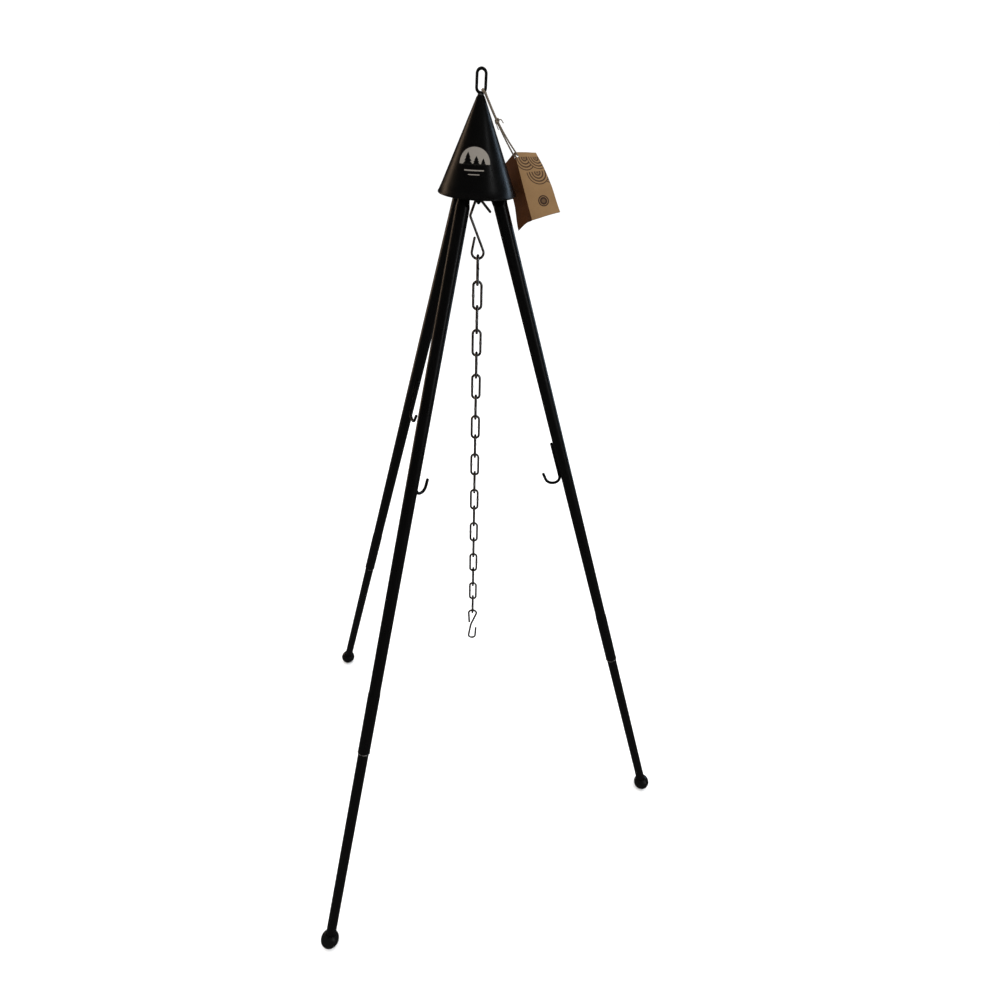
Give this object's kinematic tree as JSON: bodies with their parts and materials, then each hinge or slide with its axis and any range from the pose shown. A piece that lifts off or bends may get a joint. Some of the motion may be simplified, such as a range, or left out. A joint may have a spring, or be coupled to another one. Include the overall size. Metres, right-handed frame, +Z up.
{
  "type": "campfire cooking tripod",
  "caption": "Folding steel cooking tripod with a cone hood, a hanging chain with hooks, welded leg hooks and ball feet.",
  "frame": {"origin": "on the ground at the middle of the open stance", "axes": "+Z up, -Y towards the front leg side, +X towards the right leg"},
  "size_m": [0.5792, 0.5324, 1.0188],
  "materials": {
    "hood_paint": "semi-gloss black powder coat with a pale printed emblem",
    "leg_paint": "semi-gloss black powder coat",
    "foot_plastic": "satin black",
    "bright_steel": "drawn steel wire",
    "dark_steel": "blackened steel",
    "card": "kraft card",
    "twine": "hemp twine"
  },
  "bodies": {
    "hub": {"centre_rod": "dark_steel", "rod_collar": "dark_steel", "lock_nut": "dark_steel", "hood_disc": "dark_steel", "cone_hood": "hood_paint", "top_loop": "dark_steel", "centre_eye": "dark_steel"},
    "arm_right": {"swivel_arm_right": "leg_paint"},
    "leg_right": {"upper_tube_right": "leg_paint", "hinge_pin_right": "dark_steel", "leg_hook_right": "leg_paint"},
    "shank_right": {"lower_tube_right": "leg_paint", "ball_foot_right": "foot_plastic"},
    "arm_back": {"swivel_arm_back": "leg_paint"},
    "leg_back": {"upper_tube_back": "leg_paint", "hinge_pin_back": "dark_steel", "leg_hook_back": "leg_paint"},
    "shank_back": {"lower_tube_back": "leg_paint", "ball_foot_back": "foot_plastic"},
    "arm_front": {"swivel_arm_front": "leg_paint"},
    "leg_front": {"upper_tube_front": "leg_paint", "hinge_pin_front": "dark_steel", "leg_hook_front": "leg_paint"},
    "shank_front": {"lower_tube_front": "leg_paint", "ball_foot_front": "foot_plastic"},
    "chain_hook": {"chain_hook": "bright_steel"},
    "chain_link_01": {"chain_link_01": "bright_steel"},
    "chain_link_02": {"chain_link_02": "bright_steel"},
    "chain_link_03": {"chain_link_03": "bright_steel"},
    "chain_link_04": {"chain_link_04": "bright_steel"},
    "chain_link_05": {"chain_link_05": "bright_steel"},
    "chain_link_06": {"chain_link_06": "bright_steel"},
    "chain_link_07": {"chain_link_07": "bright_steel"},
    "chain_link_08": {"chain_link_08": "bright_steel"},
    "chain_link_09": {"chain_link_09": "bright_steel"},
    "chain_link_10": {"chain_link_10": "bright_steel"},
    "chain_link_11": {"chain_link_11": "bright_steel"},
    "chain_link_12": {"chain_link_12": "bright_steel"},
    "chain_link_13": {"chain_link_13": "bright_steel"},
    "chain_link_14": {"chain_link_14": "bright_steel"},
    "chain_link_15": {"chain_link_15": "bright_steel"},
    "chain_link_16": {"chain_link_16": "bright_steel"},
    "chain_link_17": {"chain_link_17": "bright_steel"},
    "chain_link_18": {"chain_link_18": "bright_steel"},
    "chain_link_19": {"chain_link_19": "bright_steel"},
    "pot_hook": {"pot_hook": "bright_steel"},
    "tag": {"tag_card": "card", "tag_hitch": "twine", "tag_twine_a": "twine", "tag_twine_b": "twine", "tag_knot": "twine"}
  },
  "joints": [
    {"name": "leg_swivel_right", "type": "hinge", "parent": "hub", "child": "arm_right", "pos_m": [-0.01825, 0.0362, 0.924], "axis": [0, 0, 1], "range_deg": [-8, 8]},
    {"name": "leg_fold_right", "type": "hinge", "parent": "arm_right", "child": "leg_right", "pos_m": [-0.00036, 0.03424, 0.924], "axis": [0.1089, 0.9941, 0], "range_deg": [0, 8]},
    {"name": "leg_slide_right", "type": "slide", "parent": "leg_right", "child": "shank_right", "axis": [0.2913, -0.0319, -0.9561], "range_m": [0, 0.06]},
    {"name": "leg_swivel_back", "type": "hinge", "parent": "hub", "child": "arm_back", "pos_m": [-0.01825, 0.0362, 0.924], "axis": [0, 0, 1], "range_deg": [-8, 8]},
    {"name": "leg_fold_back", "type": "hinge", "parent": "arm_back", "child": "leg_back", "pos_m": [-0.03203, 0.04778, 0.924], "axis": [-0.6433, -0.7656, 0], "range_deg": [0, 13.8]},
    {"name": "leg_slide_back", "type": "slide", "parent": "leg_back", "child": "shank_back", "axis": [-0.2539, 0.2134, -0.9434], "range_m": [-0.0128, 0.0472]},
    {"name": "leg_swivel_front", "type": "hinge", "parent": "hub", "child": "arm_front", "pos_m": [-0.01825, 0.0362, 0.924], "axis": [0, 0, 1], "range_deg": [-8, 8]},
    {"name": "leg_fold_front", "type": "hinge", "parent": "arm_front", "child": "leg_front", "pos_m": [-0.02752, 0.02077, 0.924], "axis": [0.8572, -0.515, 0], "range_deg": [0, 13.8]},
    {"name": "leg_slide_front", "type": "slide", "parent": "leg_front", "child": "shank_front", "axis": [-0.1708, -0.2843, -0.9434], "range_m": [-0.0128, 0.0472]},
    {"name": "chain_hook_swing", "type": "hinge", "parent": "hub", "child": "chain_hook", "pos_m": [-0.01645, 0.0362, 0.90733], "axis": [0, 1, 0], "range_deg": [-6, 6]},
    {"name": "chain_swing_01", "type": "hinge", "parent": "chain_hook", "child": "chain_link_01", "pos_m": [-0.01645, 0.0362, 0.85465], "axis": [1, 0, 0], "range_deg": [-7.5, 7.5]},
    {"name": "chain_swing_02", "type": "hinge", "parent": "chain_link_01", "child": "chain_link_02", "pos_m": [-0.01645, 0.0362, 0.82855], "axis": [0, -1, 0], "range_deg": [-15, 15]},
    {"name": "chain_swing_03", "type": "hinge", "parent": "chain_link_02", "child": "chain_link_03", "pos_m": [-0.01645, 0.0362, 0.80255], "axis": [-1, 0, 0], "range_deg": [-15, 15]},
    {"name": "chain_swing_04", "type": "hinge", "parent": "chain_link_03", "child": "chain_link_04", "pos_m": [-0.01645, 0.0362, 0.77655], "axis": [0, 1, 0], "range_deg": [-15, 15]},
    {"name": "chain_swing_05", "type": "hinge", "parent": "chain_link_04", "child": "chain_link_05", "pos_m": [-0.01645, 0.0362, 0.75055], "axis": [1, 0, 0], "range_deg": [-15, 15]},
    {"name": "chain_swing_06", "type": "hinge", "parent": "chain_link_05", "child": "chain_link_06", "pos_m": [-0.01645, 0.0362, 0.72455], "axis": [0, -1, 0], "range_deg": [-15, 15]},
    {"name": "chain_swing_07", "type": "hinge", "parent": "chain_link_06", "child": "chain_link_07", "pos_m": [-0.01645, 0.0362, 0.69855], "axis": [-1, 0, 0], "range_deg": [-15, 15]},
    {"name": "chain_swing_08", "type": "hinge", "parent": "chain_link_07", "child": "chain_link_08", "pos_m": [-0.01645, 0.0362, 0.67255], "axis": [0, 1, 0], "range_deg": [-15, 15]},
    {"name": "chain_swing_09", "type": "hinge", "parent": "chain_link_08", "child": "chain_link_09", "pos_m": [-0.01645, 0.0362, 0.64655], "axis": [1, 0, 0], "range_deg": [-15, 15]},
    {"name": "chain_swing_10", "type": "hinge", "parent": "chain_link_09", "child": "chain_link_10", "pos_m": [-0.01645, 0.0362, 0.62055], "axis": [0, -1, 0], "range_deg": [-15, 15]},
    {"name": "chain_swing_11", "type": "hinge", "parent": "chain_link_10", "child": "chain_link_11", "pos_m": [-0.01645, 0.0362, 0.59455], "axis": [-1, 0, 0], "range_deg": [-15, 15]},
    {"name": "chain_swing_12", "type": "hinge", "parent": "chain_link_11", "child": "chain_link_12", "pos_m": [-0.01645, 0.0362, 0.56855], "axis": [0, 1, 0], "range_deg": [-15, 15]},
    {"name": "chain_swing_13", "type": "hinge", "parent": "chain_link_12", "child": "chain_link_13", "pos_m": [-0.01645, 0.0362, 0.54255], "axis": [1, 0, 0], "range_deg": [-15, 15]},
    {"name": "chain_swing_14", "type": "hinge", "parent": "chain_link_13", "child": "chain_link_14", "pos_m": [-0.01645, 0.0362, 0.51655], "axis": [0, -1, 0], "range_deg": [-15, 15]},
    {"name": "chain_swing_15", "type": "hinge", "parent": "chain_link_14", "child": "chain_link_15", "pos_m": [-0.01645, 0.0362, 0.49055], "axis": [-1, 0, 0], "range_deg": [-15, 15]},
    {"name": "chain_swing_16", "type": "hinge", "parent": "chain_link_15", "child": "chain_link_16", "pos_m": [-0.01645, 0.0362, 0.46455], "axis": [0, 1, 0], "range_deg": [-15, 15]},
    {"name": "chain_swing_17", "type": "hinge", "parent": "chain_link_16", "child": "chain_link_17", "pos_m": [-0.01645, 0.0362, 0.43855], "axis": [1, 0, 0], "range_deg": [-15, 15]},
    {"name": "chain_swing_18", "type": "hinge", "parent": "chain_link_17", "child": "chain_link_18", "pos_m": [-0.01645, 0.0362, 0.41255], "axis": [0, -1, 0], "range_deg": [-15, 15]},
    {"name": "chain_swing_19", "type": "hinge", "parent": "chain_link_18", "child": "chain_link_19", "pos_m": [-0.01645, 0.0362, 0.38655], "axis": [-1, 0, 0], "range_deg": [-15, 15]},
    {"name": "pot_hook_swing", "type": "hinge", "parent": "chain_link_19", "child": "pot_hook", "pos_m": [-0.01645, 0.0362, 0.36055], "axis": [0, 1, 0], "range_deg": [-20, 20]},
    {"name": "tag_swing_out", "type": "hinge", "parent": "hub", "child": "tag", "pos_m": [-0.01305, 0.0362, 1.00004], "axis": [0, -1, 0], "range_deg": [0, 16]}
  ]
}
